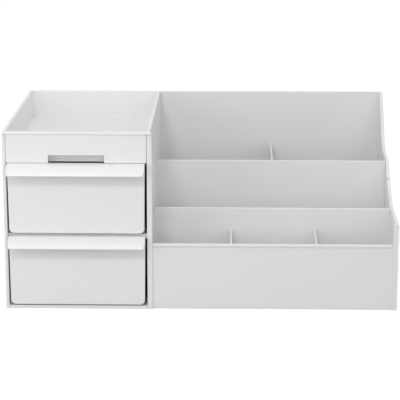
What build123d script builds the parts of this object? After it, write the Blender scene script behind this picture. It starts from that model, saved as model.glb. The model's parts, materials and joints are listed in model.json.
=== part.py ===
"""Makeup organizer: a cabinet with two drawers and a lift-out tray beside a three-tier holder.

Frame: +X to the right seen from the front, the drawers open towards -Y, +Z up.
The origin is on the surface that it stands on, under the centre of its box. All lengths are mm.
"""

import os
from math import asin, degrees

from build123d import *

# Overall size
width = 325.0
depth = 195.0
height = 150.0
cabinet_width = 122.4

# Walls, base and panels
wall = 2.8
base_thickness = 2.4
panel_thickness = 2.0
front_return = 1.5
return_depth = 1.2
edge_round = 0.6
wall_front_round = 1.0
seat_gap = 0.3
slip = 0.1

# Wave of the right wall's top edge: heights, depths behind the front, and how long each bend runs
wave_front_height = 74.0
wave_shoulder_height = 105.0
first_rise_start = 36.0
first_rise_end = 112.0
first_rise_foot = 46.0
first_rise_head = 12.0
second_rise_start = 130.0
second_rise_foot = 30.0
second_rise_head = 22.0
front_corner_round = 2.5

# Tier panels: heights of their tops, and depths of their front faces
front_panel_height = 56.0
middle_panel_height = 74.2
rear_panel_height = 103.4
middle_panel_depth = 52.0
rear_panel_depth = 108.0
bead_height = 2.8
bead_reach = 1.0
bead_round = 0.9
base_lip = 0.8

# Upright ribs that guide the ends of panels and dividers
rib_height = 1.5
rib_width = 1.2
rib_setback = 6.0

# Tabs that lock the walls and panels together
tab_length = 18.0
tab_reach = 1.5
tab_thickness = 1.2

# Dividers of the front and rear compartments
divider_thickness = 1.7
divider_play = 0.25
divider_corner = 2.0
front_divider_spacing = 71.0
divider_offset = 1.2
front_channel_drop = 14.0
rear_channel_drop = 24.0

# Drawers
drawer_front_height = 59.2
drawer_front_gap = 2.0
drawer_floor_gap = 1.0
drawer_side_gap = 1.2
drawer_lean = 0.35
drawer_taper = 0.7
drawer_front_thickness = 2.2
drawer_front_corner = 4.0
drawer_front_round = 0.8
drawer_box_drop = 4.6
drawer_box_inset = 1.6
drawer_wall = 1.8
drawer_back_gap = 3.0
drawer_back_corner = 8.0
drawer_bottom_round = 2.5
drawer_floor_round = 2.0
runner_width = 3.0
runner_inset = 12.0

# Drawer lip, a curved pull along the whole top of the front
lip_reach = 12.0
lip_drop = 8.6
lip_thickness = 2.0
lip_corner = 3.5
lip_tip_round = 0.7

# Shelf between the drawers
shelf_thickness = 2.2
shelf_setback = 3.4
ledge_width = 2.0
ledge_height = 1.8

# Lift-out tray, whose thin walls stand in a recess of the cabinet's walls
rim_thickness = 2.4
rim_reach = 1.1
rim_corner = 2.0
rim_round = 0.7
tray_wall = 1.2
tray_play = 0.2
tray_floor = 1.6
tray_corner = 2.0
tray_floor_round = 1.0
fascia_thickness = 2.0
fascia_side_gap = 0.3
fascia_gap = 0.3
pocket_width = 46.0
pocket_height = 6.5
pocket_depth = 6.5
pocket_wall = 1.6
pocket_round = 4.0

# Places worked out from the sizes above
left_x = -width / 2
right_x = width / 2
front_y = (lip_reach - depth) / 2
back_y = front_y + depth
bay_left = left_x + wall
partition_right = left_x + cabinet_width - front_return
bay_right = partition_right - wall
holder_right = right_x - wall
back_face = back_y - wall
wall_top = height - rim_thickness - seat_gap
front_panel_face = front_y + return_depth + slip
front_panel_back = front_panel_face + panel_thickness
middle_panel_face = front_y + middle_panel_depth
rear_panel_face = front_y + rear_panel_depth
rear_panel_back = rear_panel_face + panel_thickness
holder_centre = (partition_right + holder_right) / 2
divider_centre = holder_centre + divider_offset
bay_centre = (bay_left + bay_right) / 2
lower_drawer_bottom = base_thickness + drawer_floor_gap
upper_drawer_bottom = lower_drawer_bottom + drawer_front_height + drawer_front_gap
upper_drawer_top = upper_drawer_bottom + drawer_front_height
shelf_top = upper_drawer_bottom - drawer_floor_gap
ledge_top = shelf_top - shelf_thickness
foot_back = front_panel_back
front_rib_top = front_panel_height - rib_setback
middle_rib_top = middle_panel_height - rib_setback
rear_rib_top = rear_panel_height - rib_setback
front_channel_top = front_panel_height - front_channel_drop
rear_channel_top = rear_panel_height - rear_channel_drop
tray_bottom = upper_drawer_top + fascia_gap
tray_front = front_y + fascia_thickness
recess_depth = tray_wall + tray_play
recess_front = tray_front - tray_play
recess_back = back_face + recess_depth
recess_bottom = tray_bottom - seat_gap


def quarters(start, end):
    """Places at one and three quarters of a length, where a pair of tabs goes."""
    return (start + (end - start) / 4, start + 3 * (end - start) / 4)


def around(middle, size):
    """The range of a given size about its middle."""
    return (middle - size / 2, middle + size / 2)


# Pairs of tabs along the edges where the pieces meet
side_tabs = quarters(front_y, back_face)
partition_tabs = quarters(front_y + tab_length, back_face)
panel_tabs = quarters(partition_right, holder_right)
partition_slot = (bay_right - slip, partition_right + slip)
back_tabs = quarters(base_thickness, wave_front_height)

os.makedirs("parts", exist_ok=True)


def span(x_range, y_range, mode=Mode.ADD):
    """Rectangle between two places along each axis of the sketch being drawn."""
    centre = [(low + high) / 2 for low, high in (x_range, y_range)]
    with Locations(tuple(centre)):
        Rectangle(x_range[1] - x_range[0], y_range[1] - y_range[0], mode=mode)


def block(x_range, y_range, z_range, mode=Mode.ADD):
    """Rib, tab or pocket between two places along each axis of the piece being built."""
    ranges = [sorted(pair) for pair in (x_range, y_range, z_range)]
    centre = [(low + high) / 2 for low, high in ranges]
    with Locations(tuple(centre)):
        Box(*[high - low for low, high in ranges], mode=mode)


def panel_channel(wall_x, reach, panel_face, top):
    """Two upright ribs on a wall, one each side of the end of a panel."""
    before = panel_face - slip
    behind = panel_face + panel_thickness + slip
    block((wall_x, wall_x + reach), (before - rib_width, before), (base_thickness, top))
    block((wall_x, wall_x + reach), (behind, behind + rib_width), (base_thickness, top))


def divider_channel(divider_x, face_y, reach, top):
    """Two upright ribs on a panel or the back, one each side of the end of a divider."""
    half = divider_thickness / 2 + divider_play
    for side in (-1, 1):
        rib_x = (divider_x + side * half, divider_x + side * (half + rib_width))
        block(rib_x, (face_y, face_y + reach), (base_thickness, top))


def holder_channels(wall_x, reach):
    """Ribs on one side wall of the holder for the front, middle and rear panels."""
    behind = front_panel_back + slip
    block((wall_x, wall_x + reach), (behind, behind + rib_width), (base_thickness, front_rib_top))
    panel_channel(wall_x, reach, middle_panel_face, middle_rib_top)
    panel_channel(wall_x, reach, rear_panel_face, rear_rib_top)


def side_pockets(inner_x, reach):
    """Blind pockets in a side wall for the tabs of the base and of the back."""
    pocket_x = (inner_x, inner_x + reach)
    for tab_y in side_tabs:
        block(
            pocket_x,
            around(tab_y, tab_length + 2 * slip),
            around(base_thickness / 2, tab_thickness + 2 * slip),
            mode=Mode.SUBTRACT,
        )
    for tab_z in back_tabs:
        block(
            pocket_x,
            around(back_face + wall / 2, tab_thickness + 2 * slip),
            around(tab_z, tab_length + 2 * slip),
            mode=Mode.SUBTRACT,
        )


def tray_recess(x_range, back):
    """Recess down the inside of a cabinet wall, whose floor carries the tray."""
    block(x_range, (recess_front, back), (recess_bottom, wall_top), mode=Mode.SUBTRACT)


# Left wall, with the ledge that carries the shelf
with BuildPart() as left_wall:
    with BuildSketch(Plane.YZ.offset(left_x)):
        span((front_y, back_y), (0, wall_top))
    extrude(amount=wall)
    fillet(left_wall.edges().filter_by(Axis.Z).group_by(Axis.Y)[0], wall_front_round)
    tray_recess((bay_left - recess_depth, bay_left), recess_back)
    with BuildSketch(Plane.YZ.offset(bay_left)):
        span((front_y + shelf_setback, back_face), (ledge_top - ledge_height, ledge_top))
    extrude(amount=ledge_width)
    side_pockets(bay_left, -tab_reach - slip)
left_wall.part.label = "left_wall"
export_step(left_wall.part, "parts/left_wall.step")

# Partition between cabinet and holder, with a foot down to the ground and a return along its front
with BuildPart() as partition_wall:
    with BuildSketch(Plane.YZ.offset(bay_right)):
        span((front_y, back_face), (base_thickness, wall_top))
        span((front_y, foot_back), (0, base_thickness))
        for tab_y in partition_tabs:
            span(around(tab_y, tab_length), (base_thickness - tab_reach, base_thickness))
        for tab_z in back_tabs:
            span((back_face, back_face + tab_reach), around(tab_z, tab_length))
    extrude(amount=wall)
    with BuildSketch(Plane.YZ.offset(partition_right)):
        span((front_y, front_y + return_depth), (0, wall_top))
    extrude(amount=front_return)
    fillet(partition_wall.edges().filter_by(Axis.Z).group_by(Axis.Y)[0], edge_round)
    tray_recess((bay_right, bay_right + recess_depth), back_face)
    with BuildSketch(Plane.YZ.offset(bay_right)):
        span((front_y + shelf_setback, back_face), (ledge_top - ledge_height, ledge_top))
    extrude(amount=-ledge_width)
    holder_channels(partition_right, rib_height)
partition_wall.part.label = "partition_wall"
export_step(partition_wall.part, "parts/partition_wall.step")

# Right wall, whose top edge climbs to the back in two waves past the tops of the panels
with BuildPart() as right_wall:
    with BuildSketch(Plane.YZ.offset(holder_right)):
        with BuildLine():
            start = (front_y + first_rise_start, wave_front_height)
            shoulder = (front_y + first_rise_end, wave_shoulder_height)
            second_start = (front_y + second_rise_start, wave_shoulder_height)
            crest = (back_y, height)
            Polyline(crest, (back_y, 0), (front_y, 0), (front_y, wave_front_height), start)
            Bezier(
                start,
                (start[0] + first_rise_foot, wave_front_height),
                (shoulder[0] - first_rise_head, wave_shoulder_height),
                shoulder,
            )
            Line(shoulder, second_start)
            Bezier(
                second_start,
                (second_start[0] + second_rise_foot, wave_shoulder_height),
                (crest[0] - second_rise_head, height),
                crest,
            )
        make_face()
    extrude(amount=wall)
    with BuildSketch(Plane.YZ.offset(holder_right)):
        span((front_y, front_y + return_depth), (0, wave_front_height))
    extrude(amount=-front_return)
    front_corner = right_wall.edges().filter_by(Axis.X).group_by(Axis.Y)[0].sort_by(Axis.Z)[-1]
    fillet(front_corner, min(front_corner_round, return_depth * 0.9))
    outer_face = right_wall.faces().filter_by(Axis.X).sort_by(Axis.X)[-1]
    outline = outer_face.edges().filter_by(lambda edge: edge.center().Z > base_thickness)
    fillet(outline.filter_by(lambda edge: edge.center().Y < back_y - slip), edge_round)
    holder_channels(holder_right, -rib_height)
    side_pockets(holder_right, tab_reach + slip)
right_wall.part.label = "right_wall"
export_step(right_wall.part, "parts/right_wall.step")

# Base, notched round the partition's foot, with a thin lip under the front panel
with BuildPart() as base_plate:
    with BuildSketch():
        span((bay_left, bay_right - slip), (front_y, back_face))
        span((bay_left, holder_right), (front_panel_back + slip, back_face))
    extrude(amount=base_thickness)
    with BuildSketch():
        span((partition_right + slip, holder_right), (front_panel_face, front_panel_back + slip))
    extrude(amount=base_lip)
    slot_depth = tab_reach + slip
    with BuildSketch(Plane.XY.offset(base_thickness)):
        for tab_y in partition_tabs:
            span(partition_slot, around(tab_y, tab_length + 2 * slip))
        for face in (middle_panel_face, rear_panel_face):
            for tab_x in panel_tabs:
                span(
                    around(tab_x, tab_length + 2 * slip),
                    around(face + panel_thickness / 2, panel_thickness + 2 * slip),
                )
    extrude(amount=-slot_depth, mode=Mode.SUBTRACT)
    for tab_y in side_tabs:
        tab_z = around(base_thickness / 2, tab_thickness)
        block((bay_left - tab_reach, bay_left), around(tab_y, tab_length), tab_z)
        block((holder_right, holder_right + tab_reach), around(tab_y, tab_length), tab_z)
    front_edge = base_plate.edges().filter_by(Axis.X).group_by(Axis.Y)[0]
    fillet(front_edge, edge_round)
base_plate.part.label = "base_plate"
export_step(base_plate.part, "parts/base_plate.step")

# Back, lower behind the tray, whose rim rests on it
with BuildPart() as back_wall:
    with BuildSketch(Plane.XZ.offset(-back_face)):
        span((bay_left, partition_right + seat_gap), (0, wall_top))
        span((partition_right + seat_gap, holder_right), (0, height))
    extrude(amount=-wall)
    with BuildSketch(Plane.XZ.offset(-back_face)):
        for tab_z in back_tabs:
            span(partition_slot, around(tab_z, tab_length + 2 * slip))
    extrude(amount=-tab_reach - slip, mode=Mode.SUBTRACT)
    for tab_z in back_tabs:
        tab_y = around(back_face + wall / 2, tab_thickness)
        block((bay_left - tab_reach, bay_left), tab_y, around(tab_z, tab_length))
        block((holder_right, holder_right + tab_reach), tab_y, around(tab_z, tab_length))
    top_edges = back_wall.edges().filter_by(Axis.X).group_by(Axis.Z)[-1]
    fillet(top_edges, edge_round)
    block(
        (bay_left, bay_right + recess_depth),
        (back_face, recess_back),
        (recess_bottom, wall_top),
        mode=Mode.SUBTRACT,
    )
    divider_channel(divider_centre, back_face, -rib_height, rear_channel_top)
back_wall.part.label = "back_wall"
export_step(back_wall.part, "parts/back_wall.step")

# Front panel of the holder, with a rolled bead along its top between the returns of the walls
front_dividers = around(divider_centre, front_divider_spacing)
with BuildPart() as front_panel:
    with BuildSketch(Plane.YZ.offset(partition_right + slip)):
        span((front_panel_face, front_panel_back), (base_lip, front_panel_height))
    extrude(amount=holder_right - partition_right - 2 * slip)
    bead_start = partition_right + front_return + slip
    bead_end = holder_right - front_return - slip
    with BuildSketch(Plane.YZ.offset(bead_start)) as bead:
        span(
            (front_panel_face - bead_reach, front_panel_face),
            (front_panel_height - bead_height, front_panel_height),
        )
        fillet(bead.vertices().group_by(Axis.X)[0], min(bead_round, 0.9 * bead_reach))
    extrude(amount=bead_end - bead_start)
    back_top = front_panel.edges().filter_by(Axis.X).group_by(Axis.Z)[-1].sort_by(Axis.Y)[-1]
    fillet(back_top, edge_round)
    for divider_x in front_dividers:
        divider_channel(divider_x, front_panel_back, rib_height, front_channel_top)
front_panel.part.label = "front_panel"
export_step(front_panel.part, "parts/front_panel.step")


def tier_panel(face_y, top):
    """Upright panel across the holder, with a rounded top edge and two tabs into the base."""
    with BuildPart() as panel:
        with BuildSketch(Plane.XZ.offset(-face_y)):
            span((partition_right + slip, holder_right - slip), (base_thickness, top))
            for tab_x in panel_tabs:
                span(around(tab_x, tab_length), (base_thickness - tab_reach, base_thickness))
        extrude(amount=-panel_thickness)
        fillet(panel.edges().filter_by(Axis.X).group_by(Axis.Z)[-1], edge_round)
    return panel.part


with BuildPart() as middle_panel:
    add(tier_panel(middle_panel_face, middle_panel_height))
    for divider_x in front_dividers:
        divider_channel(divider_x, middle_panel_face, -rib_height, front_channel_top)
middle_panel.part.label = "middle_panel"
export_step(middle_panel.part, "parts/middle_panel.step")

with BuildPart() as rear_panel:
    add(tier_panel(rear_panel_face, rear_panel_height))
    divider_channel(divider_centre, rear_panel_back, rib_height, rear_channel_top)
rear_panel.part.label = "rear_panel"
export_step(rear_panel.part, "parts/rear_panel.step")


def divider(divider_x, front, back, top):
    """Loose upright divider that drops between two pairs of ribs."""
    with BuildPart() as plate:
        with BuildSketch(Plane.YZ.offset(divider_x - divider_thickness / 2)) as side:
            span((front + divider_play, back - divider_play), (base_thickness + seat_gap, top))
            fillet(side.vertices().group_by(Axis.Y)[-1], divider_corner)
        extrude(amount=divider_thickness)
        fillet(plate.edges().filter_by(Axis.Y).group_by(Axis.Z)[-1], edge_round)
    return plate.part


rear_divider = divider(divider_centre, rear_panel_back, back_face, rear_panel_height)
rear_divider.label = "rear_divider"
export_step(rear_divider, "parts/rear_divider.step")
for divider_name, divider_x in zip(("front_divider_left", "front_divider_right"), front_dividers):
    front_divider = divider(divider_x, front_panel_back, middle_panel_face, front_panel_height)
    front_divider.label = divider_name
    export_step(front_divider, f"parts/{divider_name}.step")

# Shelf under the upper drawer, set back behind the drawer fronts
with BuildPart() as drawer_shelf:
    with BuildSketch(Plane.XY.offset(ledge_top)):
        span((bay_left + slip, bay_right - slip), (front_y + shelf_setback, back_face))
    extrude(amount=shelf_thickness)
    fillet(drawer_shelf.edges().filter_by(Axis.X).group_by(Axis.Y)[0], edge_round)
drawer_shelf.part.label = "drawer_shelf"
export_step(drawer_shelf.part, "parts/drawer_shelf.step")

# Both drawers are the same moulding: a box behind a tapered front with a curved lip
lip_radius = (lip_reach**2 + lip_drop**2) / (2 * lip_drop)
lip_angle = degrees(asin(lip_reach / lip_radius))
drawer_left = bay_left + drawer_side_gap - drawer_lean
drawer_right = bay_right - drawer_side_gap - drawer_lean
box_left = drawer_left + drawer_taper + drawer_box_inset
box_right = drawer_right - drawer_taper - drawer_box_inset
box_front = front_y + drawer_front_thickness
box_back = back_face - drawer_back_gap


def curved_lip(top):
    """Lip of a drawer: a land on the front, then an arc forwards and down to a rounded tip."""
    with BuildPart() as lip:
        with BuildSketch(Plane.YZ.offset(drawer_left)) as section:
            with BuildLine():
                centre = (front_y, top - lip_radius)
                outer = CenterArc(centre, lip_radius, 90, lip_angle)
                inner = CenterArc(centre, lip_radius - lip_thickness, 90, lip_angle)
                Line(outer @ 1, inner @ 1)
                Polyline(inner @ 0, (box_front, top - lip_thickness), (box_front, top), outer @ 0)
            make_face()
            fillet(section.vertices().sort_by(Axis.X)[:2], lip_tip_round)
        extrude(amount=drawer_right - drawer_left)
        with BuildSketch(Plane.XY.offset(top - drawer_front_height)) as plan:
            span((drawer_left, drawer_right), (front_y - lip_reach, box_front))
            fillet(plan.vertices().group_by(Axis.Y)[0], lip_corner)
        extrude(amount=drawer_front_height, mode=Mode.INTERSECT)
    return lip.part


def drawer(bottom):
    """One drawer, given the height of the bottom of its front."""
    top = bottom + drawer_front_height
    box_top = top - drawer_box_drop
    with BuildPart() as body:
        with BuildSketch(Plane.XY.offset(bottom)) as floor:
            span((box_left, box_right), (box_front - drawer_front_thickness / 2, box_back))
            fillet(floor.vertices().group_by(Axis.Y)[-1], drawer_back_corner)
        extrude(amount=box_top - bottom)
        underside = body.faces().sort_by(Axis.Z)[0]
        fillet(underside.edges().sort_by(Axis.Y)[1:], drawer_bottom_round)
        with BuildSketch(Plane.XZ.offset(-front_y)) as face:
            with BuildLine():
                Polyline(
                    (drawer_left, top - lip_thickness / 2),
                    (drawer_left + drawer_taper, bottom),
                    (drawer_right - drawer_taper, bottom),
                    (drawer_right, top - lip_thickness / 2),
                    close=True,
                )
            make_face()
            fillet(face.vertices().group_by(Axis.Y)[0], drawer_front_corner)
        extrude(amount=-drawer_front_thickness)
        add(curved_lip(top))
        front_faces = body.faces().filter_by(Axis.Y)
        front_face = front_faces.filter_by_position(Axis.Y, front_y - slip, front_y + slip)
        below_lip = front_face.edges().filter_by(lambda edge: edge.center().Z < top - 2 * lip_thickness)
        fillet(below_lip, drawer_front_round)
        with BuildSketch(Plane.XY.offset(bottom + drawer_wall)) as inside:
            span(
                (box_left + drawer_wall, box_right - drawer_wall),
                (box_front, box_back - drawer_wall),
            )
            fillet(inside.vertices().group_by(Axis.Y)[-1], drawer_back_corner - drawer_wall)
            fillet(inside.vertices().group_by(Axis.Y)[0], drawer_floor_round)
        extrude(amount=box_top - bottom - drawer_wall, mode=Mode.SUBTRACT)
        for runner_x in (box_left + runner_inset, box_right - runner_inset):
            block(
                around(runner_x, runner_width),
                (box_front + drawer_bottom_round, box_back - drawer_back_corner),
                (bottom - drawer_floor_gap + seat_gap, bottom),
            )
    return body.part


drawer_bottoms = {"upper_drawer": upper_drawer_bottom, "lower_drawer": lower_drawer_bottom}
for drawer_name, drawer_bottom in drawer_bottoms.items():
    one_drawer = drawer(drawer_bottom)
    one_drawer.label = drawer_name
    export_step(one_drawer, f"parts/{drawer_name}.step")

# Lift-out tray: its floor and rim rest on the walls, and a fascia with a finger pocket closes its front
tray_floor_top = tray_bottom + tray_floor
with BuildPart() as top_tray:
    with BuildSketch(Plane.XY.offset(tray_bottom)) as outside:
        span((bay_left - tray_wall, bay_right + tray_wall), (tray_front, back_face + tray_wall))
        fillet(outside.vertices().group_by(Axis.Y)[-1], tray_corner)
        span(
            (bay_left + fascia_side_gap, bay_right - fascia_side_gap),
            (front_y, tray_front + tray_wall),
        )
    extrude(amount=height - tray_bottom)
    with BuildSketch(Plane.XY.offset(height - rim_thickness)) as rim:
        span((left_x, partition_right), (front_y, back_y))
        span((left_x, partition_right + front_return), (front_y - rim_reach, front_y + return_depth))
        fillet(rim.vertices().group_by(Axis.Y)[0], rim_corner)
    extrude(amount=rim_thickness)
    with BuildSketch(Plane.XY.offset(tray_floor_top)) as inside:
        span((bay_left, bay_right), (tray_front + tray_wall, back_face))
        fillet(inside.vertices(), tray_corner - tray_wall / 2)
    extrude(amount=height - tray_floor_top, mode=Mode.SUBTRACT)
    floor_edges = top_tray.faces().filter_by(Axis.Z).filter_by_position(
        Axis.Z, tray_floor_top - slip, tray_floor_top + slip
    ).edges()
    fillet(floor_edges, tray_floor_round)
    hood_back = front_y + pocket_depth + pocket_wall
    hood_top = tray_bottom + pocket_height + pocket_wall
    with BuildSketch(Plane.YZ.offset(bay_centre - pocket_width / 2 - pocket_wall)) as hood:
        span((front_y + fascia_thickness / 2, hood_back), (tray_bottom, hood_top))
        fillet(hood.vertices().group_by(Axis.X)[-1].sort_by(Axis.Y)[-1], pocket_round)
    extrude(amount=pocket_width + 2 * pocket_wall)
    with BuildSketch(Plane.YZ.offset(bay_centre - pocket_width / 2)) as scoop:
        span((front_y - slip, front_y + pocket_depth), (tray_bottom - slip, tray_bottom + pocket_height))
        fillet(scoop.vertices().group_by(Axis.X)[-1].sort_by(Axis.Y)[-1], pocket_round - pocket_wall)
    extrude(amount=pocket_width, mode=Mode.SUBTRACT)
    fillet(top_tray.faces().sort_by(Axis.Z)[-1].edges(), rim_round)
    bead_edge = top_tray.edges().filter_by(Axis.X).group_by(Axis.Y)[0].sort_by(Axis.Z)[0]
    fillet(bead_edge, rim_round)
top_tray.part.label = "top_tray"
export_step(top_tray.part, "parts/top_tray.step")
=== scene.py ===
"""Looks of a makeup organizer: drawers under a lift-out tray, beside an open holder with stepped panels.

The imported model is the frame. Every moulded piece of it gets a skin with softened edges, dressed in satin
white plastic, and a small pale studio lights the whole. All lengths are metres.
"""

import json
import logging
import math
from dataclasses import dataclass
from enum import Enum

import bmesh
import bpy
from mathutils import Euler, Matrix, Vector
from mathutils.bvhtree import BVHTree
from mathutils.geometry import intersect_point_line


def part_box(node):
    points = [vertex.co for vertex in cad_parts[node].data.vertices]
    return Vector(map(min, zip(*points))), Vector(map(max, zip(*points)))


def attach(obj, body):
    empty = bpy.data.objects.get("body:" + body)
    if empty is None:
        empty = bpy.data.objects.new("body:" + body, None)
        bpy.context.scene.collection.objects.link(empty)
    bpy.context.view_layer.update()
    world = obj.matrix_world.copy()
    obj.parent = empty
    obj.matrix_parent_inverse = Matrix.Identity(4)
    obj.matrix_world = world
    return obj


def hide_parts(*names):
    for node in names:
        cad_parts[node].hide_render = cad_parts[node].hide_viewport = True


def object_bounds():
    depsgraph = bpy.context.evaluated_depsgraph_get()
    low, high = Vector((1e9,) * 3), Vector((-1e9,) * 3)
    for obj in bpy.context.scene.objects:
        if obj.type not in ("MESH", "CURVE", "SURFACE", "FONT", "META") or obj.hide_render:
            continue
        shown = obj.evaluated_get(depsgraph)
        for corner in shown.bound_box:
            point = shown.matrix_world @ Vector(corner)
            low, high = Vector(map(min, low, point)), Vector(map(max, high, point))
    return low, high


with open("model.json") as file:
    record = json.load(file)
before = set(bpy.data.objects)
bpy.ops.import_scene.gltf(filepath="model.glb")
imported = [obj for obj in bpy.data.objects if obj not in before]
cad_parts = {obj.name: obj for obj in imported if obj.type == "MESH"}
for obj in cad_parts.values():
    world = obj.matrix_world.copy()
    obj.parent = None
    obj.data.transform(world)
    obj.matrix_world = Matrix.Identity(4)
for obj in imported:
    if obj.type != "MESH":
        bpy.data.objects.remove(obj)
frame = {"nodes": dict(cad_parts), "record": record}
CAD_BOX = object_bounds()
MM = 0.001
WELD = 0.001 * MM
FLOW_DETAIL = 3.0
GRAIN_DETAIL = 1.0
HANDLING_DETAIL = 2.0
CORNER_STEPS = 6
MARK_SIDES = 24
FLAT_FACE_WEIGHT = 90
WHITE = (1.0, 1.0, 1.0, 1.0)
LOG = logging.getLogger("makeup_organizer")


class Grain(Enum):
    """How the mould's steel was finished: size of its grain in metres and depth of its relief."""

    SPARKED = (0.00045, 0.000016)
    STONED = (0.00030, 0.000008)

    @property
    def size(self) -> float:
        """Width of one grain."""
        return self.value[0]

    @property
    def depth(self) -> float:
        """Height of the relief."""
        return self.value[1]


def socket(tree: bpy.types.NodeTree, name: str, kind: str, way: str, value: float | None = None) -> None:
    """Adds one named socket to a node group.

    Args:
        tree: The group.
        name: The socket's name.
        kind: Float, Int, Color, Material or Geometry.
        way: INPUT or OUTPUT.
        value: Its starting value, where it has one.
    """
    made = tree.interface.new_socket(name=name, in_out=way, socket_type=f"NodeSocket{kind}")
    if value is not None:
        made.default_value = value


def calculated(
    tree: bpy.types.NodeTree, operation: str, *values: bpy.types.NodeSocket | float
) -> bpy.types.NodeSocket:
    """Adds a Math node to a tree.

    Args:
        tree: The tree.
        operation: What the node works out.
        *values: What goes into it, in order: sockets or plain numbers.

    Returns:
        The socket with its result.
    """
    node = tree.nodes.new("ShaderNodeMath")
    node.operation = operation
    for entry, value in zip(node.inputs, values):
        if isinstance(value, bpy.types.NodeSocket):
            tree.links.new(value, entry)
        else:
            entry.default_value = value
    return node.outputs[0]


def moulded_surface() -> bpy.types.NodeTree:
    """Shader group for moulded plastic: slow flow clouds in tone and gloss, and the mould's fine grain.

    Returns:
        A group with Tone, Flow Width, Flow Depth, Gloss, Gloss Change and Grain Width going in, and Colour,
        Roughness and Relief coming out.
    """
    group = bpy.data.node_groups.new("moulded_surface", "ShaderNodeTree")
    starts = {
        "Tone": 0.8,
        "Flow Width": 0.09,
        "Flow Depth": 0.02,
        "Gloss": 0.4,
        "Gloss Change": 0.05,
        "Grain Width": 0.0004,
    }
    for title, start in starts.items():
        socket(group, title, "Float", "INPUT", start)
    socket(group, "Colour", "Color", "OUTPUT")
    socket(group, "Roughness", "Float", "OUTPUT")
    socket(group, "Relief", "Float", "OUTPUT")
    nodes, link = group.nodes, group.links.new
    given = nodes.new("NodeGroupInput")
    result = nodes.new("NodeGroupOutput")
    place = nodes.new("ShaderNodeTexCoord")

    def noise(width: str, detail: float) -> bpy.types.NodeSocket:
        """Noise on the object's own coordinates.

        Args:
            width: The name of the input that holds its width.
            detail: The noise texture's detail.

        Returns:
            The socket with its strength, from 0 to 1.
        """
        texture = nodes.new("ShaderNodeTexNoise")
        texture.inputs["Detail"].default_value = detail
        link(place.outputs["Object"], texture.inputs["Vector"])
        link(calculated(group, "DIVIDE", 1.0, given.outputs[width]), texture.inputs["Scale"])
        return texture.outputs["Fac"]

    def about(middle: str, change: str, strength: bpy.types.NodeSocket) -> bpy.types.NodeSocket:
        """Swings a value about its middle, by the change at most.

        Args:
            middle: The name of the input that holds the middle.
            change: The name of the input that holds the change.
            strength: What it follows, from 0 to 1.

        Returns:
            The socket with the value.
        """
        centred = calculated(group, "MULTIPLY_ADD", strength, 2.0, -1.0)
        return calculated(group, "MULTIPLY_ADD", centred, given.outputs[change], given.outputs[middle])

    flow = noise("Flow Width", FLOW_DETAIL)
    tone = about("Tone", "Flow Depth", flow)
    grey = nodes.new("ShaderNodeCombineColor")
    for channel in ("Red", "Green", "Blue"):
        link(tone, grey.inputs[channel])
    link(grey.outputs["Color"], result.inputs["Colour"])
    link(about("Gloss", "Gloss Change", flow), result.inputs["Roughness"])
    link(noise("Grain Width", GRAIN_DETAIL), result.inputs["Relief"])
    return group


def handled_surface() -> bpy.types.NodeTree:
    """Shader group for handling: hairlines and rubbed patches that change the gloss alone.

    Returns:
        A group with Roughness, Rub Width, Rub Depth, Hairline Width and Hairline Depth going in, and
        Roughness coming out.
    """
    group = bpy.data.node_groups.new("handled_surface", "ShaderNodeTree")
    starts = {
        "Roughness": 0.4,
        "Rub Width": 0.03,
        "Rub Depth": 0.04,
        "Hairline Width": 0.0012,
        "Hairline Depth": 0.03,
    }
    for title, start in starts.items():
        socket(group, title, "Float", "INPUT", start)
    socket(group, "Roughness", "Float", "OUTPUT")
    nodes, link = group.nodes, group.links.new
    given = nodes.new("NodeGroupInput")
    result = nodes.new("NodeGroupOutput")
    place = nodes.new("ShaderNodeTexCoord")

    def mask(
        width: str, stretch: tuple[float, float, float], low: float, high: float
    ) -> bpy.types.NodeSocket:
        """Noise that is stretched along the axes and cut to its strong part.

        Args:
            width: The name of the input that holds its width.
            stretch: How much faster it changes along each axis.
            low: The strength up to which the mask is 0.
            high: The strength from which the mask is 1.

        Returns:
            The socket with the mask.
        """
        mapping = nodes.new("ShaderNodeMapping")
        mapping.inputs["Scale"].default_value = stretch
        link(place.outputs["Object"], mapping.inputs["Vector"])
        texture = nodes.new("ShaderNodeTexNoise")
        texture.inputs["Detail"].default_value = HANDLING_DETAIL
        link(mapping.outputs["Vector"], texture.inputs["Vector"])
        link(calculated(group, "DIVIDE", 1.0, given.outputs[width]), texture.inputs["Scale"])
        cut = nodes.new("ShaderNodeMapRange")
        cut.interpolation_type = "SMOOTHSTEP"
        cut.inputs["From Min"].default_value = low
        cut.inputs["From Max"].default_value = high
        link(texture.outputs["Fac"], cut.inputs["Value"])
        return cut.outputs["Result"]

    patches = mask("Rub Width", (1.0, 1.0, 1.0), low=0.52, high=0.72)
    hairlines = mask("Hairline Width", (0.06, 1.0, 1.0), low=0.62, high=0.70)
    rub = calculated(group, "MULTIPLY", given.outputs["Rub Depth"], patches)
    rubbed = calculated(group, "MULTIPLY_ADD", rub, -1.0, given.outputs["Roughness"])
    wear = calculated(group, "MULTIPLY", given.outputs["Hairline Depth"], hairlines)
    link(calculated(group, "ADD", wear, rubbed), result.inputs["Roughness"])
    return group


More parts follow.
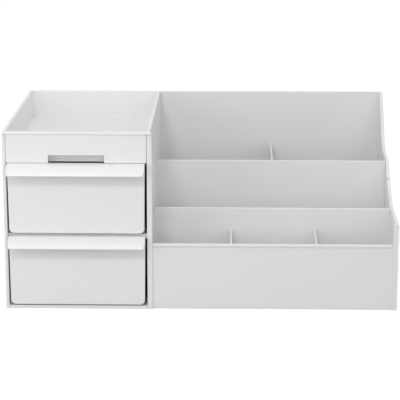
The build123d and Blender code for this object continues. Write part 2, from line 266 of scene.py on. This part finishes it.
@dataclass(frozen=True)
class PlasticFinish:
    """White moulded plastic with a satin surface.

    Attributes:
        slot: The record's material slot.
        grain: The grain that the mould leaves.
        tone: Its grey level, linear.
        gloss: Its roughness before handling.
        flow_depth: How far the flow clouds change the tone.
        gloss_change: How far they change the roughness.
        rub_depth: How much smoother rubbed patches are.
        hairline_depth: How much rougher hairlines are.
        specular: Strength of its mirror reflection.
    """

    slot: str
    grain: Grain
    tone: float
    gloss: float = 0.42
    flow_depth: float = 0.008
    gloss_change: float = 0.05
    rub_depth: float = 0.03
    hairline_depth: float = 0.02
    specular: float = 0.45

    def material(self, surface: bpy.types.NodeTree, handling: bpy.types.NodeTree) -> bpy.types.Material:
        """Builds the material.

        Args:
            surface: The moulded_surface group.
            handling: The handled_surface group.

        Returns:
            The finished material, named after the record's slot.
        """
        made = bpy.data.materials.new(self.slot)
        made.use_nodes = True
        nodes, link = made.node_tree.nodes, made.node_tree.links.new
        shader = nodes["Principled BSDF"]
        shader.inputs["Specular IOR Level"].default_value = self.specular
        skin = nodes.new("ShaderNodeGroup")
        skin.node_tree = surface
        handled = nodes.new("ShaderNodeGroup")
        handled.node_tree = handling
        for group, title, value in (
            (skin, "Tone", self.tone),
            (skin, "Flow Depth", self.flow_depth),
            (skin, "Gloss", self.gloss),
            (skin, "Gloss Change", self.gloss_change),
            (skin, "Grain Width", self.grain.size),
            (handled, "Rub Depth", self.rub_depth),
            (handled, "Hairline Depth", self.hairline_depth),
        ):
            group.inputs[title].default_value = value
        bump = nodes.new("ShaderNodeBump")
        bump.inputs["Distance"].default_value = self.grain.depth
        link(skin.outputs["Colour"], shader.inputs["Base Color"])
        link(skin.outputs["Roughness"], handled.inputs["Roughness"])
        link(handled.outputs["Roughness"], shader.inputs["Roughness"])
        link(skin.outputs["Relief"], bump.inputs["Height"])
        link(bump.outputs["Normal"], shader.inputs["Normal"])
        return made


class Palette:
    """The finishes of this organizer, built once, by the record's slot."""

    def __init__(self) -> None:
        """Builds the two groups and one material for each slot."""
        surface = moulded_surface()
        handling = handled_surface()
        finishes = (
            PlasticFinish("body_white", Grain.SPARKED, tone=0.85),
            PlasticFinish("moulding_white", Grain.STONED, tone=0.875, gloss=0.36, rub_depth=0.05),
        )
        self.materials = {finish.slot: finish.material(surface, handling) for finish in finishes}
        self.slots = {entry["node"]: entry["material_slot"] for entry in frame["record"]["subparts"]}

    def slot_of(self, node: str) -> str:
        """Looks up the slot of a CAD node.

        Args:
            node: The CAD node.

        Returns:
            The slot's name in the record.
        """
        return self.slots[node]

    def plastic_of(self, node: str) -> bpy.types.Material:
        """Looks up the material of a CAD node.

        Args:
            node: The CAD node.

        Returns:
            The material of its slot.
        """
        return self.materials[self.slots[node]]


def shape_tree(name: str, floats: tuple[str, ...], counts: tuple[str, ...] = ()) -> bpy.types.NodeTree:
    """Starts a geometry tree with named inputs for its sizes and its plastic.

    Args:
        name: The tree's name.
        floats: Names of its lengths and places.
        counts: Names of its whole numbers.

    Returns:
        The tree, with a Plastic input and a Shape output.
    """
    tree = bpy.data.node_groups.new(name, "GeometryNodeTree")
    for title in floats:
        socket(tree, title, "Float", "INPUT", 0.0)
    for title in counts:
        socket(tree, title, "Int", "INPUT", 1)
    socket(tree, "Plastic", "Material", "INPUT")
    socket(tree, "Shape", "Geometry", "OUTPUT")
    return tree


def finish_tree(tree: bpy.types.NodeTree, given: bpy.types.Node, shape: bpy.types.NodeSocket) -> None:
    """Ends a geometry tree in Realize Instances and Set Material.

    Args:
        tree: The tree.
        given: Its group input.
        shape: The shape that it makes.
    """
    nodes, link = tree.nodes, tree.links.new
    real = nodes.new("GeometryNodeRealizeInstances")
    dress = nodes.new("GeometryNodeSetMaterial")
    result = nodes.new("NodeGroupOutput")
    link(shape, real.inputs["Geometry"])
    link(real.outputs["Geometry"], dress.inputs["Geometry"])
    link(given.outputs["Plastic"], dress.inputs["Material"])
    link(dress.outputs["Geometry"], result.inputs["Shape"])


def divider_tree() -> bpy.types.NodeTree:
    """Geometry tree of a divider: an upright plate whose two top corners are rounded.

    Returns:
        A tree with Length, Height, Thickness, Corner, Left, Front and Foot.
    """
    tree = shape_tree("divider_plate", ("Length", "Height", "Thickness", "Corner", "Left", "Front", "Foot"))
    nodes, link = tree.nodes, tree.links.new
    given = nodes.new("NodeGroupInput")
    outline = nodes.new("GeometryNodeCurvePrimitiveQuadrilateral")
    link(given.outputs["Length"], outline.inputs["Width"])
    link(given.outputs["Height"], outline.inputs["Height"])
    place = nodes.new("GeometryNodeInputPosition")
    split = nodes.new("ShaderNodeSeparateXYZ")
    link(place.outputs[0], split.inputs[0])
    is_upper = calculated(tree, "GREATER_THAN", split.outputs["Y"], 0.0)
    rounded = nodes.new("GeometryNodeFilletCurve")
    rounded.mode = "POLY"
    rounded.inputs["Count"].default_value = CORNER_STEPS
    link(outline.outputs[0], rounded.inputs["Curve"])
    link(calculated(tree, "MULTIPLY", is_upper, given.outputs["Corner"]), rounded.inputs["Radius"])
    side = nodes.new("GeometryNodeFillCurve")
    side.mode = "NGONS"
    link(rounded.outputs[0], side.inputs["Curve"])
    thick = nodes.new("GeometryNodeExtrudeMesh")
    thick.mode = "FACES"
    thick.inputs["Individual"].default_value = False
    link(side.outputs[0], thick.inputs["Mesh"])
    link(given.outputs["Thickness"], thick.inputs["Offset Scale"])
    other = nodes.new("GeometryNodeFlipFaces")
    link(side.outputs[0], other.inputs[0])
    both = nodes.new("GeometryNodeJoinGeometry")
    link(thick.outputs["Mesh"], both.inputs[0])
    link(other.outputs[0], both.inputs[0])
    closed = nodes.new("GeometryNodeMergeByDistance")
    closed.inputs["Distance"].default_value = WELD
    link(both.outputs[0], closed.inputs["Geometry"])

    def middle(start: str, size: str) -> bpy.types.NodeSocket:
        """Finds the middle of a length.

        Args:
            start: The name of the input that holds where it starts.
            size: The name of the input that holds how long it is.

        Returns:
            The socket with the middle's place.
        """
        return calculated(tree, "MULTIPLY_ADD", given.outputs[size], 0.5, given.outputs[start])

    where = nodes.new("ShaderNodeCombineXYZ")
    link(given.outputs["Left"], where.inputs["X"])
    link(middle("Front", "Length"), where.inputs["Y"])
    link(middle("Foot", "Height"), where.inputs["Z"])
    upright = nodes.new("GeometryNodeTransform")
    upright.inputs["Rotation"].default_value = (math.pi / 2, 0.0, math.pi / 2)
    link(closed.outputs["Geometry"], upright.inputs["Geometry"])
    link(where.outputs[0], upright.inputs["Translation"])
    finish_tree(tree, given, upright.outputs["Geometry"])
    return tree


def marks_tree() -> bpy.types.NodeTree:
    """Geometry tree of the round marks that a mould's ejector pins leave in rows on a hidden underside.

    Returns:
        A tree with Width, Length, Radius, Relief, Left, Front and Under, and Columns and Rows.
    """
    lengths = ("Width", "Length", "Radius", "Relief", "Left", "Front", "Under")
    tree = shape_tree("ejector_marks", lengths, ("Columns", "Rows"))
    nodes, link = tree.nodes, tree.links.new
    given = nodes.new("NodeGroupInput")
    grid = nodes.new("GeometryNodeMeshGrid")
    link(given.outputs["Width"], grid.inputs["Size X"])
    link(given.outputs["Length"], grid.inputs["Size Y"])
    link(given.outputs["Columns"], grid.inputs["Vertices X"])
    link(given.outputs["Rows"], grid.inputs["Vertices Y"])
    mark = nodes.new("GeometryNodeMeshCylinder")
    mark.inputs["Vertices"].default_value = MARK_SIDES
    link(given.outputs["Radius"], mark.inputs["Radius"])
    link(given.outputs["Relief"], mark.inputs["Depth"])
    spread = nodes.new("GeometryNodeInstanceOnPoints")
    link(grid.outputs["Mesh"], spread.inputs["Points"])
    link(mark.outputs["Mesh"], spread.inputs["Instance"])
    where = nodes.new("ShaderNodeCombineXYZ")
    link(given.outputs["Left"], where.inputs["X"])
    link(given.outputs["Front"], where.inputs["Y"])
    link(given.outputs["Under"], where.inputs["Z"])
    moved = nodes.new("GeometryNodeTransform")
    link(spread.outputs["Instances"], moved.inputs["Geometry"])
    link(where.outputs[0], moved.inputs["Translation"])
    finish_tree(tree, given, moved.outputs["Geometry"])
    return tree


def grown(name: str, tree: bpy.types.NodeTree, values: dict[str, object]) -> bpy.types.Mesh:
    """Runs a geometry tree and keeps what it makes as a plain mesh.

    Args:
        name: The mesh's name.
        tree: The geometry tree.
        values: What goes into its inputs, by their names.

    Returns:
        The mesh, with its material.
    """
    seed = bpy.data.objects.new(f"{name}_seed", bpy.data.meshes.new(f"{name}_seed"))
    bpy.context.scene.collection.objects.link(seed)
    modifier = seed.modifiers.new(tree.name, "NODES")
    modifier.node_group = tree
    for item in tree.interface.items_tree:
        if item.in_out == "INPUT":
            modifier[item.identifier] = values[item.name]
    view = bpy.context.evaluated_depsgraph_get()
    mesh = bpy.data.meshes.new_from_object(seed.evaluated_get(view), depsgraph=view)
    mesh.name = name
    seed.modifiers.remove(modifier)
    bpy.data.objects.remove(seed)
    return mesh


@dataclass(frozen=True)
class EdgeSoftener:
    """Rounds the edges that a mould can't leave sharp, save where such a round would fold the surface.

    Attributes:
        radius: Radius of the rounds.
        steps: Faces across each round.
        flat_angle: Faces that meet at less than this are one face.
        sharp_angle: Edges that turn by more than this are rounded.
        smooth_angle: Edges that turn by more than this shade as edges.
        stray: How far the rounded surface may lie from the form, in radii.
        least_turn: Cosine between a rounded face and the form below which the face has folded over.
        least_area: Twice the area, in square metres, of a triangle that is too small to judge.
        least_width: Width of the narrowest face that takes a round, in radii.
        clearing: How near a fold an edge has to pass to stay sharp, in radii.
        tries: How often the rounds are made again to clear folds.
    """

    radius: float = 0.25 * MM
    steps: int = 3
    flat_angle: float = math.radians(0.3)
    sharp_angle: float = math.radians(50)
    smooth_angle: float = math.radians(35)
    stray: float = 0.6
    least_turn: float = 0.1
    least_area: float = 1e-11
    least_width: float = 1.5
    clearing: float = 3.0
    tries: int = 8

    def soften(self, mesh: bpy.types.Mesh) -> None:
        """Merges a mesh's loose triangles, then rounds its sharp edges.

        Args:
            mesh: The mesh, changed in place.
        """
        hard = bmesh.new()
        hard.from_mesh(mesh)
        bmesh.ops.remove_doubles(hard, verts=hard.verts, dist=WELD)
        bmesh.ops.dissolve_limit(hard, angle_limit=self.flat_angle, verts=hard.verts, edges=hard.edges)
        hard.edges.index_update()
        hard.edges.ensure_lookup_table()
        form = BVHTree.FromBMesh(hard)
        chosen = {edge.index for edge in hard.edges if edge.is_manifold and self.is_sharp(edge)}
        shape = self.rounded(hard, chosen)
        for _ in range(self.tries):
            folds = self.folds(shape, form)
            if not folds:
                break
            shape.free()
            chosen = {index for index in chosen if not self.is_near(hard.edges[index], folds)}
            shape = self.rounded(hard, chosen)
        for vert in shape.verts:
            spot, _, _, gap = form.find_nearest(vert.co)
            if gap > self.stray * self.radius:
                vert.co = spot
        bmesh.ops.remove_doubles(shape, verts=shape.verts, dist=WELD)
        bmesh.ops.dissolve_degenerate(shape, dist=WELD, edges=shape.edges)
        for face in shape.faces:
            face.smooth = True
        shape.to_mesh(mesh)
        shape.free()
        hard.free()
        mesh.set_sharp_from_angle(angle=self.smooth_angle)

    def is_sharp(self, edge: bmesh.types.BMEdge) -> bool:
        """Whether two faces meet sharply at an edge and are both wide enough for a round.

        Args:
            edge: The edge, with two faces.

        Returns:
            True if it is to be rounded.
        """
        if edge.calc_face_angle() < self.sharp_angle:
            return False
        narrowest = min(face.calc_area() for face in edge.link_faces) / edge.calc_length()
        return narrowest > self.radius * self.least_width

    def rounded(self, hard: bmesh.types.BMesh, chosen: set[int]) -> bmesh.types.BMesh:
        """A copy of a form with some of its edges rounded.

        Args:
            hard: The form with sharp edges.
            chosen: The numbers of the edges to round.

        Returns:
            The rounded copy.
        """
        shape = hard.copy()
        shape.edges.ensure_lookup_table()
        bmesh.ops.bevel(
            shape,
            geom=[shape.edges[index] for index in chosen],
            offset=self.radius,
            offset_type="OFFSET",
            segments=self.steps,
            profile=0.5,
            affect="EDGES",
            clamp_overlap=False,
        )
        return shape

    def folds(self, shape: bmesh.types.BMesh, form: BVHTree) -> list[Vector]:
        """Finds where a rounded surface folds over or strays from the form.

        Args:
            shape: The rounded surface.
            form: The form with sharp edges.

        Returns:
            The corners of each triangle that turned over or left the form.
        """
        found = []
        for loops in shape.calc_loop_triangles():
            corners = [loop.vert.co for loop in loops]
            normal = (corners[1] - corners[0]).cross(corners[2] - corners[0])
            if normal.length < self.least_area:
                continue
            _, below, _, gap = form.find_nearest(sum(corners, Vector()) / 3)
            if gap > self.stray * self.radius or normal.normalized().dot(below) < self.least_turn:
                found.extend(corner.copy() for corner in corners)
        return found

    def is_near(self, edge: bmesh.types.BMEdge, places: list[Vector]) -> bool:
        """Whether an edge passes close to one of some places.

        Args:
            edge: The edge.
            places: The places.

        Returns:
            True if it does.
        """
        start, end = (vert.co for vert in edge.verts)
        for place in places:
            spot, share = intersect_point_line(place, start, end)
            nearest = start if share < 0.0 else end if share > 1.0 else spot
            if (place - nearest).length < self.clearing * self.radius:
                return True
        return False


def evened(mesh: bpy.types.Mesh) -> bpy.types.Mesh:
    """Weights a mesh's normals by area, so that its flat faces shade flat beside rounded edges.

    Args:
        mesh: The rounded mesh.

    Returns:
        The mesh with its normals set.
    """
    seed = bpy.data.objects.new(f"{mesh.name}_seed", mesh)
    bpy.context.scene.collection.objects.link(seed)
    weighted = seed.modifiers.new("flat_faces", "WEIGHTED_NORMAL")
    weighted.keep_sharp = True
    weighted.weight = FLAT_FACE_WEIGHT
    view = bpy.context.evaluated_depsgraph_get()
    made = bpy.data.meshes.new_from_object(seed.evaluated_get(view), depsgraph=view)
    name = mesh.name
    bpy.data.objects.remove(seed)
    bpy.data.meshes.remove(mesh)
    made.name = name
    return made


@dataclass
class SubAssembly:
    """Pieces that belong together on one body or more, dressed from one palette."""

    palette: Palette
    softener: EdgeSoftener = EdgeSoftener()

    def skin(self, node: str, body: str) -> bpy.types.Object:
        """A moulded piece: its CAD node's own form with softened edges, in its place.

        Args:
            node: The CAD node.
            body: The body that it rides on.

        Returns:
            The piece.
        """
        mesh = frame["nodes"][node].data.copy()
        mesh.name = f"{node}_skin"
        mesh.materials.clear()
        mesh.materials.append(self.palette.plastic_of(node))
        self.softener.soften(mesh)
        return self.fit(evened(mesh), node, body)

    def fit(self, mesh: bpy.types.Mesh, node: str, body: str) -> bpy.types.Object:
        """Puts a finished mesh into the scene in the place of a CAD node.

        Args:
            mesh: The finished mesh.
            node: The CAD node that it stands for.
            body: The body that it rides on.

        Returns:
            The piece.
        """
        piece = self.ride(mesh, node, body)
        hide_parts(node)
        return piece

    def ride(self, mesh: bpy.types.Mesh, node: str, body: str) -> bpy.types.Object:
        """Puts a finished mesh into the scene beside a CAD node.

        Args:
            mesh: The finished mesh.
            node: The CAD node whose slot it looks up.
            body: The body that it rides on.

        Returns:
            The piece.
        """
        piece = bpy.data.objects.new(mesh.name, mesh)
        bpy.context.scene.collection.objects.link(piece)
        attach(piece, body)
        self.palette.slot_of(node)
        return piece


@dataclass
class Cabinet(SubAssembly):
    """Left wall, partition, base, back and the shelf between the drawers."""

    nodes: tuple[str, ...] = ("left_wall", "partition_wall", "base_plate", "back_wall", "drawer_shelf")

    def build(self) -> list[bpy.types.Object]:
        """Dresses the plates of the cabinet.

        Returns:
            The pieces.
        """
        return [self.skin(node, "root") for node in self.nodes]


@dataclass
class Holder(SubAssembly):
    """Wave-edged side wall and the three panels that step up to the back."""

    nodes: tuple[str, ...] = ("right_wall", "front_panel", "middle_panel", "rear_panel")

    def build(self) -> list[bpy.types.Object]:
        """Dresses the wall and the panels.

        Returns:
            The pieces.
        """
        return [self.skin(node, "root") for node in self.nodes]


@dataclass
class Dividers(SubAssembly):
    """Loose upright plates that stand between ribs in the front and rear compartments."""

    nodes: tuple[str, ...] = ("rear_divider", "front_divider_left", "front_divider_right")
    corner: float = 2.0 * MM
    plate_softener: EdgeSoftener = EdgeSoftener(radius=0.5 * MM)

    def build(self) -> list[bpy.types.Object]:
        """Grows each plate from the divider tree, between the corners of its CAD node.

        Returns:
            The pieces.
        """
        tree = divider_tree()
        return [self.plate(tree, node) for node in self.nodes]

    def plate(self, tree: bpy.types.NodeTree, node: str) -> bpy.types.Object:
        """One divider.

        Args:
            tree: The divider tree.
            node: Its CAD node, which is also the body that it rides on.

        Returns:
            The piece.
        """
        low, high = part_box(node)
        values = {
            "Length": high[1] - low[1],
            "Height": high[2] - low[2],
            "Thickness": high[0] - low[0],
            "Corner": self.corner,
            "Left": low[0],
            "Front": low[1],
            "Foot": low[2],
            "Plastic": self.palette.plastic_of(node),
        }
        mesh = grown(f"{node}_plate", tree, values)
        self.plate_softener.soften(mesh)
        return self.fit(evened(mesh), node, node)


@dataclass
class PulledOutBoxes(SubAssembly):
    """The mouldings that come out of the cabinet: both drawers and the tray, marked underneath.

    Attributes:
        nodes: Their CAD nodes.
        mark_radius: Radius of one ejector mark.
        mark_relief: How thick a mark is, half of it above the surface.
        mark_columns: Marks across the underside.
        mark_rows: Marks along the underside.
        mark_spread: Share of the underside that the rows span.
        runner_height: How far a drawer's runners stand below its floor.
    """

    nodes: tuple[str, ...] = ("upper_drawer", "lower_drawer", "top_tray")
    mark_radius: float = 3.5 * MM
    mark_relief: float = 0.12 * MM
    mark_columns: int = 2
    mark_rows: int = 4
    mark_spread: float = 0.62
    runner_height: float = 0.7 * MM

    def build(self) -> list[bpy.types.Object]:
        """Dresses each box and adds the marks of the ejector pins under it.

        Returns:
            The pieces.
        """
        tree = marks_tree()
        pieces = []
        for node in self.nodes:
            pieces.append(self.skin(node, node))
            pieces.append(self.marks(tree, node))
        return pieces

    def marks(self, tree: bpy.types.NodeTree, node: str) -> bpy.types.Object:
        """Rows of ejector marks on one underside.

        Args:
            tree: The marks tree.
            node: The box's CAD node, which is also the body that it rides on.

        Returns:
            The piece.
        """
        low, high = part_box(node)
        under = low[2] + (0.0 if node == "top_tray" else self.runner_height)
        values = {
            "Width": (high[0] - low[0]) * self.mark_spread,
            "Length": (high[1] - low[1]) * self.mark_spread,
            "Radius": self.mark_radius,
            "Relief": self.mark_relief,
            "Left": (low[0] + high[0]) / 2,
            "Front": (low[1] + high[1]) / 2,
            "Under": under,
            "Columns": self.mark_columns,
            "Rows": self.mark_rows,
            "Plastic": self.palette.plastic_of(node),
        }
        return self.ride(grown(f"{node}_ejector_marks", tree, values), node, node)


@dataclass(frozen=True)
class Lamp:
    """One square soft lamp that faces the object."""

    name: str
    place: tuple[float, float, float]
    size: float
    power: float

    def hang(self) -> None:
        """Hangs the lamp and turns it to the middle of the object."""
        light = bpy.data.lights.new(self.name, "AREA")
        light.shape = "SQUARE"
        light.size = self.size
        light.energy = self.power
        lamp = bpy.data.objects.new(self.name, light)
        lamp.location = self.place
        middle = (CAD_BOX[0] + CAD_BOX[1]) / 2
        lamp.rotation_euler = (middle - Vector(self.place)).to_track_quat("-Z", "Y").to_euler()
        bpy.context.scene.collection.objects.link(lamp)


@dataclass
class Studio:
    """White floor that keeps the shadow, soft lamps and the camera at the photograph's viewing angle.

    Attributes:
        floor_size: Side of the floor.
        floor_tone: Grey level of the floor, which bounces light on to the object.
        floor_lift: What the floor adds to its own tone where it is seen.
        sky_light: Strength of the even light from all round.
        lamps: The soft lamps.
        camera_place: Where the camera stands.
        camera_dip: How far it looks down.
        camera_turn: How far it looks to the left.
        lens: Its focal length in millimetres.
        sensor: Its sensor's width in millimetres.
    """

    floor_size: float = 12.0
    floor_tone: float = 0.50
    floor_lift: float = 0.70
    sky_light: float = 0.63
    lamps: tuple[Lamp, ...] = (
        Lamp("close_left_lamp", place=(-0.55, -0.5, 0.25), size=0.4, power=0.74),
        Lamp("front_right_lamp", place=(0.9, -2.0, 0.6), size=1.0, power=4.1),
        Lamp("key_lamp", place=(-0.22, -0.93, 0.85), size=0.18, power=2.4),
        Lamp("top_lamp", place=(0.0, 0.1, 1.6), size=0.8, power=1.6),
    )
    camera_place: tuple[float, float, float] = (0.02858, -1.43390, 0.42055)
    camera_dip: float = math.radians(13.685)
    camera_turn: float = math.radians(1.255)
    lens: float = 151.84
    sensor: float = 36.0

    def build(self) -> None:
        """Makes the floor, the sky, the lamps and the camera."""
        self.floor()
        self.sky()
        for lamp in self.lamps:
            lamp.hang()
        self.camera()
        bpy.context.scene.view_settings.view_transform = "Standard"

    def floor(self) -> None:
        """A wide floor that shows white and keeps the object's shadow."""
        half = self.floor_size / 2
        mesh = bpy.data.meshes.new("floor")
        corners = [(-half, -half, 0), (half, -half, 0), (half, half, 0), (-half, half, 0)]
        mesh.from_pydata(corners, [], [(0, 1, 2, 3)])
        paper = bpy.data.materials.new("floor_paper")
        paper.use_nodes = True
        tree = paper.node_tree
        nodes, link = tree.nodes, tree.links.new
        nodes.clear()
        output = nodes.new("ShaderNodeOutputMaterial")
        matt = nodes.new("ShaderNodeBsdfDiffuse")
        matt.inputs["Color"].default_value = (self.floor_tone,) * 3 + (1.0,)
        lift = nodes.new("ShaderNodeEmission")
        shown = calculated(tree, "MULTIPLY", self.seen_directly(tree), self.floor_lift)
        link(shown, lift.inputs["Strength"])
        both = nodes.new("ShaderNodeAddShader")
        link(matt.outputs[0], both.inputs[0])
        link(lift.outputs[0], both.inputs[1])
        link(both.outputs[0], output.inputs["Surface"])
        mesh.materials.append(paper)
        floor = bpy.data.objects.new("floor", mesh)
        bpy.context.scene.collection.objects.link(floor)

    def sky(self) -> None:
        """Even light from all round, which shows white."""
        world = bpy.data.worlds.new("soft_sky")
        world.use_nodes = True
        nodes, link = world.node_tree.nodes, world.node_tree.links.new
        nodes.clear()
        output = nodes.new("ShaderNodeOutputWorld")
        light = nodes.new("ShaderNodeBackground")
        light.inputs["Strength"].default_value = self.sky_light
        white = nodes.new("ShaderNodeBackground")
        for shade in (light, white):
            shade.inputs["Color"].default_value = WHITE
        choice = nodes.new("ShaderNodeMixShader")
        link(self.seen_directly(world.node_tree), choice.inputs["Fac"])
        link(light.outputs[0], choice.inputs[1])
        link(white.outputs[0], choice.inputs[2])
        link(choice.outputs[0], output.inputs["Surface"])
        bpy.context.scene.world = world

    @staticmethod
    def seen_directly(tree: bpy.types.NodeTree) -> bpy.types.NodeSocket:
        """Tells rays that come from the camera, or by a mirroring or clear surface, from all others.

        Args:
            tree: The tree of the floor or the sky.

        Returns:
            The socket that is 1 for them and 0 for the others.
        """
        rays = tree.nodes.new("ShaderNodeLightPath")
        seen = rays.outputs["Is Camera Ray"]
        for kind in ("Is Glossy Ray", "Is Transmission Ray"):
            seen = calculated(tree, "MAXIMUM", seen, rays.outputs[kind])
        return seen

    def camera(self) -> None:
        """Sets the camera where the photograph was taken from."""
        eye = bpy.data.cameras.new("camera")
        eye.lens = self.lens
        eye.sensor_width = self.sensor
        camera = bpy.data.objects.new("camera", eye)
        camera.location = self.camera_place
        camera.rotation_euler = Euler((math.pi / 2 - self.camera_dip, 0.0, self.camera_turn))
        bpy.context.scene.collection.objects.link(camera)
        bpy.context.scene.camera = camera


def main() -> None:
    """Builds the sub-assemblies in order and reports each piece."""
    logging.basicConfig(level=logging.INFO, format="%(message)s")
    palette = Palette()
    for assembly in (Cabinet(palette), Holder(palette), Dividers(palette), PulledOutBoxes(palette)):
        title = type(assembly).__name__
        for piece in assembly.build():
            LOG.info("%s: %s, %d faces", title, piece.name, len(piece.data.polygons))
    Studio().build()


if __name__ == "__main__":
    main()
